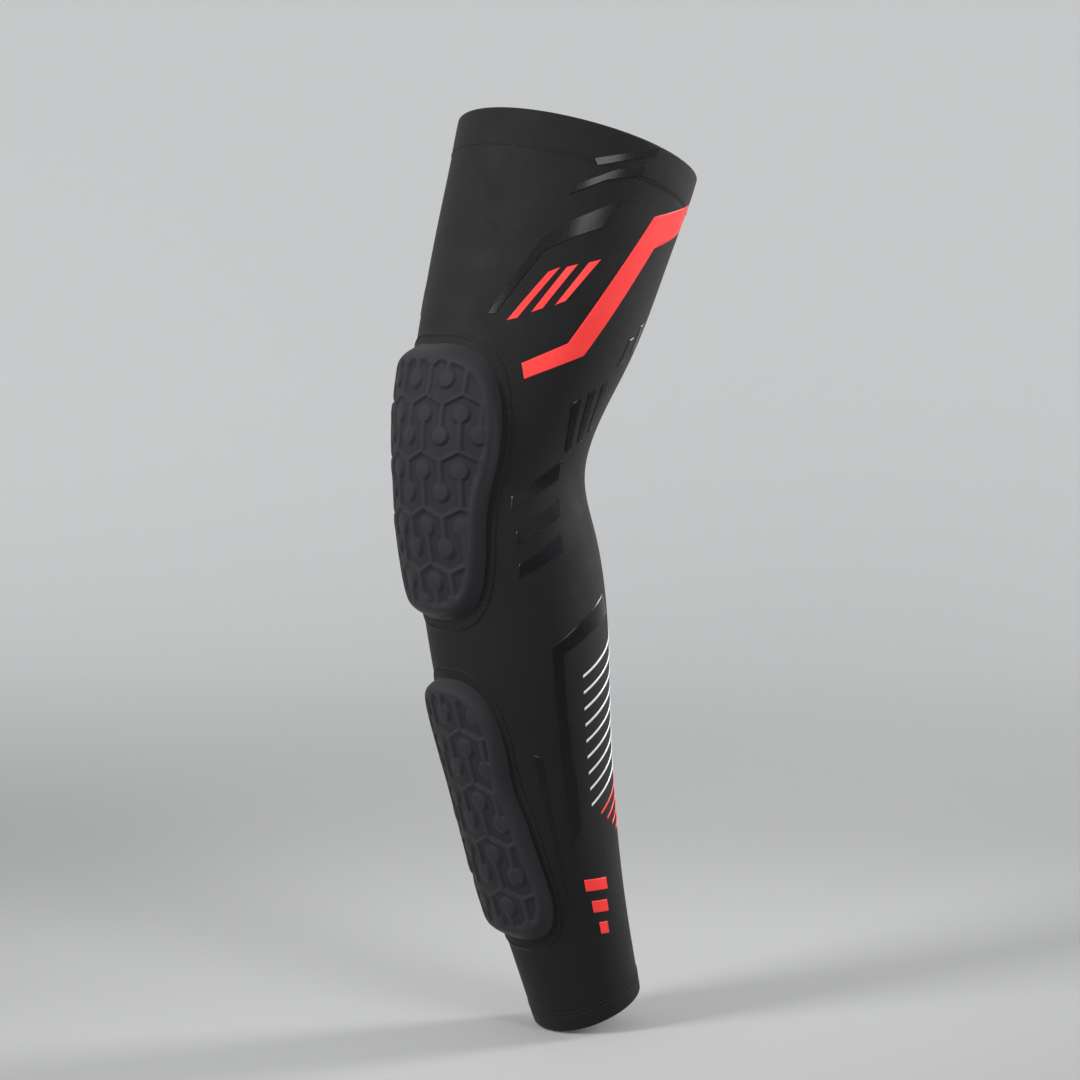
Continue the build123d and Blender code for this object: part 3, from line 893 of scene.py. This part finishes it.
def films(name, ribbons, both_sides=True, raised=0.0):
    """One piece of several films. Where both sides have them, the other side's are mirror images:
    minus the angle."""
    slabs = [ribbon(first, second, raised) for first, second in ribbons]
    if both_sides:
        slabs += [(points * (-1, 1, 1), faces) for points, faces in slabs]
    starts = np.cumsum([0] + [len(points) for points, _ in slabs[:-1]])
    points = np.concatenate([points for points, _ in slabs])
    faces = np.concatenate([faces + start for (_, faces), start in zip(slabs, starts)])
    angle, height, lift = points.T
    return make_piece(name, leg_point(angle, height, lift), faces, cloth_map(angle, height)[faces],
                      sharp=30.0)


def bar(corners):
    """A film with four corners as its two long edges."""
    return (corners[0], corners[1]), (corners[3], corners[2])


def slanted(angle, height, end, slope, tall):
    """A stripe that climbs from an angle to an end angle, with its lower edge a little below."""
    rise = slope * (end - angle)
    return ((angle, height), (end, height + rise)), ((angle, height - tall), (end, height + rise - tall))


STRIPE_END = 150.0  # degrees
STRIPE_SLOPE = 27.0 / 52.0  # mm for each degree
STRIPE_TALL = 1.8
silver = [slanted(98, -125 - 10.8 * k, STRIPE_END, STRIPE_SLOPE, STRIPE_TALL) for k in range(9)]
red = [slanted(108 + 8 * k, -218 - 4.5 * k, STRIPE_END, STRIPE_SLOPE, STRIPE_TALL) for k in range(4)]
dashes = [(((80 + 3.5 * k, -262 - 15 * k), (103 - 3.5 * k, -262 - 15 * k)),
           ((80 + 3.5 * k, -270 - 15 * k), (103 - 3.5 * k, -270 - 15 * k))) for k in range(3)]
rim_bars = [bar(((62, 206), (93.5, 214), (91.5, 208.5), (64.5, 201))),
            (((58, 190), (73.5, 199), (88.5, 202)), ((55.5, 183), (70, 192), (86, 195.5)))]
flash = [(((31, 108), (48, 155), (58, 166), (81, 181)), ((35, 107), (51, 147), (63, 156), (75, 162)))]
chevron = [(((55, 76.5), (75.5, 89), (102, 170), (140, 181)), ((59, 66.5), (87, 81), (110, 150), (136, 161)))]
slashes = [bar(((41.5, 103.5), (55.5, 134), (60.5, 137), (46.5, 105))),
           bar(((52.5, 108.5), (63.5, 137), (68.5, 139), (57.5, 111))),
           bar(((63, 113), (73.5, 140), (79, 142), (67.5, 115.5)))]
back_thigh = [bar(((117, 74), (118, 91), (123, 93), (123, 77))),
              bar(((127, 82), (127, 100), (132, 103), (132, 86)))]
back_knee = [bar(((102, 19), (93.5, 51), (98, 55), (107, 21))),
             bar(((111, 25), (102, 57.5), (106.5, 61), (116, 26))),
             bar(((120, 31), (110.5, 62), (115, 65), (124.5, 34)))]
side_knee = [bar(((65, -7.5), (100, 14.5), (100, 2.5), (63, -16))),
             bar(((64, -30), (99.5, -9), (97, -21), (62, -39))),
             bar(((62, -51), (94, -32), (92.5, -44), (60, -61)))]
frame_edges = (((129, -73), (101, -88), (76, -105.5), (76, -175), (75.5, -191), (74.5, -226), (73, -239.5)),
               ((134, -87), (105, -99), (83.5, -111), (84.5, -175), (86.5, -191), (85.5, -226),
                (73.5, -239.5)))
dart = (((56.5, -176), (60, -228), (63.5, -281)), ((62, -178), (63, -228), (66, -280)))

FILMS = (
    # the CAD node, its ribbons, material, slot, how it goes with the knee, extra lift
    ("rim_bars", rim_bars, gloss_film, "gloss_print", "thigh", HEM_PUFF),
    ("thigh_flash", flash, gloss_film, "gloss_print", "thigh", 0.0),
    ("thigh_bars", slashes, red_film, "red_print", "thigh", 0.0),
    ("thigh_chevron", chevron, red_film, "red_print", "up", 0.0),
    ("back_thigh_bars", back_thigh, gloss_film, "gloss_print", "up", 0.0),
    ("back_knee_bars", back_knee, gloss_film, "gloss_print", "up", 0.0),
    ("side_knee_bars", side_knee, gloss_film, "gloss_print", "down", 0.0),
    ("calf_frame", [frame_edges], gloss_film, "gloss_print", "down", 0.0),
    ("silver_stripes", silver, silver_film, "silver_print", "shin", 0.0),
    ("red_stripes", red, red_film, "red_print", "shin", 0.0),
    ("shin_dart", [dart], gloss_film, "gloss_print", "shin", 0.0),
    ("ankle_dashes", dashes, red_film, "red_print", "shin", 0.0),
)
for node, ribbons, material, slot, going, raised in FILMS:
    piece = films(node + "_film", ribbons, raised=raised)
    settle(piece, material, slot, node)
    if going in ("up", "down"):
        side = 1 if going == "up" else -1
        bend_with(piece)
    else:
        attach(piece, SECTIONS[1] if going == "thigh" else SECTIONS[-1])
print("films:", len(FILMS))

# %% [markdown]
# ## Thread
# Every stitch is a short closed form, thin at its ends and bowed up between them, a few dozen faces
# each, all built in one array. A continuous tube would look smoother, but it wouldn't show the
# needle holes, where each stitch dives into the cloth.

# %% Stitches and seams
STITCH_SHARE = 0.9  # of the way between two needle holes
THREAD_RADIUS = 0.3
HEM_THREAD_RADIUS = 0.32
HEM_THREAD_BASE = 0.05
HEM_PITCH = 2.1  # degrees round the leg
ANKLE_HEM_PITCH = 4.2


def stitches(name, starts, ends, radius, base, crown=0.2, rings=7, sides=6):
    """Stitches from starts to ends, arrays of (angle, height). At share t of its length a stitch has
    radius x sqrt(1 - (2t - 1) squared) and is lifted by crown x sin(pi t)."""
    gap = (1 - STITCH_SHARE) / 2
    starts, ends = starts + (ends - starts) * gap, ends - (ends - starts) * gap
    t = np.linspace(0, 1, rings)[:, None]
    turn = np.arange(sides) * 2 * np.pi / sides
    thick = radius * np.sqrt(np.clip(1 - (2 * t - 1) ** 2, 0, 1))
    to_mm = unrolled(starts[:, 1])[:, None]
    way = (ends - starts) * np.concatenate((to_mm, np.ones_like(to_mm)), 1)
    way /= np.linalg.norm(way, axis=1, keepdims=True)
    place = starts[:, None, None] + (ends - starts)[:, None, None] * t[..., None]
    angle = place[..., 0] - way[:, 1, None, None] * thick * np.cos(turn) / to_mm[..., None]
    height = place[..., 1] + way[:, 0, None, None] * thick * np.cos(turn)
    lift = np.broadcast_to(base + crown * np.sin(np.pi * t) + thick * np.sin(turn), angle.shape)
    return many_forms(name, angle, height, lift)


def rim_row(rim, distance, pitch):
    """Starts and ends of stitches in a row round the leg at a distance from a rim."""
    count = round(360 / pitch)
    hole = np.arange(count + 1) * 360 / count
    holes = np.stack((hole, rim(hole, distance)), -1)
    return holes[:-1], holes[1:]


def flange_row(pad, near, far, pitch):
    """Starts and ends of a zigzag round a pad, its holes in turn a near and a far distance outside
    the outline and evenly spaced along it."""
    direction = np.linspace(0, 360, 2001)
    reach = pad["radius"](direction % 360) + (near + far) / 2
    ring = np.stack((np.cos(np.radians(direction)), np.sin(np.radians(direction))), -1) * reach[:, None]
    length = np.concatenate(([0.0], np.cumsum(np.linalg.norm(np.diff(ring, axis=0), axis=1))))
    count = 2 * round(length[-1] / pitch / 2)
    direction = np.interp(np.arange(count + 1) * length[-1] / count, length, direction)
    reach = pad["radius"](direction % 360) + np.where(np.arange(count + 1) % 2, far, near)
    across, up = reach * np.cos(np.radians(direction)), reach * np.sin(np.radians(direction))
    height = up + pad["middle"]
    holes = np.stack((across / unrolled(height), height), -1)
    return holes[:-1], holes[1:]


thigh_row = stitches("thigh_hem_thread", *rim_row(thigh_rim, STITCH_LINE, HEM_PITCH),
                     HEM_THREAD_RADIUS, HEM_THREAD_BASE)
settle(thigh_row, thread_yarn, "thread", "thigh_hem_stitching")
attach(thigh_row, SECTIONS[1])
ankle_rows = [rim_row(ankle_rim, line, ANKLE_HEM_PITCH) for line in ANKLE_STITCH_LINES]
ankle_starts, ankle_ends = (np.concatenate(ends) for ends in zip(*ankle_rows))
ankle_thread = stitches("ankle_hem_thread", ankle_starts, ankle_ends, HEM_THREAD_RADIUS, HEM_THREAD_BASE)
settle(ankle_thread, thread_yarn, "thread", "ankle_hem_stitching")
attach(ankle_thread, SECTIONS[-1])

THREAD_NEAR = 4.6  # outside the pad's outline
THREAD_FAR = 6.8
THREAD_PITCH = 1.9
for pad, node, halves in ((KNEE_PAD, "knee_pad_stitching", (("upper", 1), ("lower", -1))),
                          (SHIN_PAD, "shin_pad_stitching", (("whole", 0),))):
    starts, ends = flange_row(pad, THREAD_NEAR, THREAD_FAR, THREAD_PITCH)
    for half, side in halves:
        kept = (starts + ends)[:, 1] * side >= 0 if side else np.full(len(starts), True)
        piece = stitches(f"{node}_{half}", starts[kept], ends[kept], THREAD_RADIUS, FLANGE_LIFT)
        settle(piece, thread_yarn, "thread", node)
        if side:
            bend_with(piece)
        else:
            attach(piece, SECTIONS[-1])

SEAM_HALF = 2.4  # degrees
SEAM_PITCH = 1.7
SEAM_STITCH = 1.9  # degrees to each side
back = 180.0
seam_parts = (("upper_back_seam", 1, 0.0, float(thigh_rim(back, HEM_HEIGHT)), "thigh_back_seam"),
              ("lower_back_seam", -1, float(ankle_rim(back, ANKLE_HEM_HEIGHT)), 0.0, "shin_back_seam"))
for name, side, low, high, node in seam_parts:
    strip = films(name, [(((back - SEAM_HALF, low), (back - SEAM_HALF, high)),
                          ((back + SEAM_HALF, low), (back + SEAM_HALF, high)))], both_sides=False)
    level = np.arange(low + 1.0, high - 1.0, SEAM_PITCH)
    holes = np.stack((back + SEAM_STITCH * (-1.0) ** np.arange(len(level)), level), -1)
    thread = stitches(name + "_thread", holes[:-1], holes[1:], THREAD_RADIUS, FILM_LIFT)
    for piece, material in ((strip, sleeve_knit), (thread, thread_yarn)):
        settle(piece, material, "thread", node, "knee_back_seam")
        bend_with(piece)
print("stitches round the thigh:", len(thigh_row.data.polygons) // 36)

# %% [markdown]
# ## The cloth as it was cut
# The sleeve is worn stretched: it is cut about a seventh narrower than the leg, as a trapezium
# that is wider at the thigh than at the ankle.

# %% [markdown]
# ## Floor, light and camera
# A plain pale floor sweeps up behind, and a long lens stands nearly level with the knee. The view
# is from between the front and the side, so that it shows both the pads and the prints.

# %% Floor and camera
FLOOR_DROP = 0.0005
CAMERA_AZIMUTH = 54.0
CAMERA_ELEVATION = 4.0
CAMERA_DISTANCE = 1.75
CAMERA_LENS = 89.2
AIM_RIGHT = 0.0288  # the view's middle lies this far right of the knee, in m
AIM_DOWN = 0.0392  # and this far below it
SWEEP_RADIUS = 1.5
SWEEP_BEHIND = 2.0  # from the knee back to where the floor starts to curve
FLOOR_FRONT = -3.5
WALL_TOP = 4.5
FLOOR_HALF_WIDTH = 6.0
# how far back and up along the sweep, in m, and the floor's colour there: painted light, paler where less
# light falls
PAINTED_FLOOR_LIGHT = ((-3.5, 0.3), (0.1, 0.32), (2.0, 0.65), (3.2, 0.74), (5.0, 0.81), (8.0, 0.84))
floor_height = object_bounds()[0][2] - FLOOR_DROP
azimuth, elevation = np.radians((CAMERA_AZIMUTH, CAMERA_ELEVATION))
towards = np.array((np.sin(azimuth) * np.cos(elevation), -np.cos(azimuth) * np.cos(elevation),
                    np.sin(elevation)))
right = np.array((np.cos(azimuth), np.sin(azimuth), 0))
up = np.cross(towards, right)


def sweep_floor():
    """A floor that curves up into a backdrop: a flat strip, a quarter circle and a wall, carried
    sideways along the camera's right. Its colour is painted light: darker in front and paler further back,
    where less light falls."""
    turn = np.linspace(-np.pi / 2, 0, 24)
    run = np.concatenate(([FLOOR_FRONT, PAINTED_FLOOR_LIGHT[1][0]], SWEEP_BEHIND + SWEEP_RADIUS * np.cos(turn),
                          [SWEEP_BEHIND + SWEEP_RADIUS]))
    rise = np.concatenate(([0.0, 0.0], SWEEP_RADIUS + SWEEP_RADIUS * np.sin(turn), [WALL_TOP]))
    # The floor's painted light: its colour at each row, paler further back where less light falls.
    painted_light = np.interp(run + rise, *np.array(PAINTED_FLOOR_LIGHT).T)
    away = np.array((-np.sin(azimuth), np.cos(azimuth), 0))
    side = np.array((-FLOOR_HALF_WIDTH, FLOOR_HALF_WIDTH))[None, :, None] * right
    points = side + run[:, None, None] * away + rise[:, None, None] * np.array((0, 0, 1.0))
    points = points + (0, 0, floor_height)
    faces, _, _ = grid_faces(len(run), 2)
    mesh = bpy.data.meshes.new("floor")
    mesh.from_pydata(points.reshape(-1, 3).tolist(), [], faces.tolist())
    mesh.attributes.new("painted_light", "FLOAT", "POINT").data.foreach_set("value", np.repeat(painted_light, 2))
    mesh.shade_smooth()
    piece = bpy.data.objects.new("floor", mesh)
    bpy.context.scene.collection.objects.link(piece)
    return piece


floor = sweep_floor()
paint, paint_tree, paint_shader = new_material("floor_paint")
# The floor's colour is its painted light, read from each point.
floor_light_paint = paint_tree.nodes.new("ShaderNodeAttribute")
floor_light_paint.attribute_name = "painted_light"
wire(paint_tree, paint_shader, Base_Color=floor_light_paint.outputs["Color"], Roughness=0.9)
floor.data.materials.append(paint)

camera = bpy.data.objects.new("camera", bpy.data.cameras.new("camera"))
camera.data.lens = CAMERA_LENS
camera.location = Vector(knee_centre + towards * CAMERA_DISTANCE + right * AIM_RIGHT - up * AIM_DOWN)
camera.rotation_euler = Vector(towards).to_track_quat("Z", "Y").to_euler()
bpy.context.scene.collection.objects.link(camera)
bpy.context.scene.camera = camera
print("floor at", round(float(floor_height), 4), "m")

# %% [markdown]
# ## Light
# Three panels and an even grey-white sky. The key lights the pads from the front, the fill shows
# the knit on the side, and the rim light from behind gives the gloss films their highlights: black
# on black shows only by what it reflects. Their spread is narrow, so the floor stays even.

# %% Light


def panel_light(name, turn, rise, distance, size, power, spread=50.0):
    """An area light at an angle round the object from the front and above it, facing its knee. Its
    light leaves within the spread, so that little falls on the floor."""
    turn, rise = np.radians((turn, rise))
    way = np.array((np.sin(turn) * np.cos(rise), -np.cos(turn) * np.cos(rise), np.sin(rise)))
    light = bpy.data.objects.new(name, bpy.data.lights.new(name, "AREA"))
    light.data.shape = "RECTANGLE"
    light.data.size, light.data.size_y = size
    light.data.energy = power
    light.data.spread = np.radians(spread)
    light.location = Vector(knee_centre + way * distance)
    light.rotation_euler = Vector(way).to_track_quat("Z", "Y").to_euler()
    bpy.context.scene.collection.objects.link(light)


panel_light("key", -2.0, 22.0, 1.8, (0.5, 1.0), 4.6)
panel_light("rim", 166.0, 22.0, 1.6, (0.4, 0.9), 2.8)
panel_light("fill", 88.0, 24.0, 1.8, (0.8, 0.8), 2.0)
world = bpy.data.worlds.new("studio")
world.use_nodes = True
world.node_tree.nodes["Background"].inputs["Color"].default_value = (0.93, 0.94, 0.95, 1)
world.node_tree.nodes["Background"].inputs["Strength"].default_value = 0.88
bpy.context.scene.world = world
bpy.context.scene.view_settings.view_transform = "Standard"
print("lights:", len(bpy.data.lights))
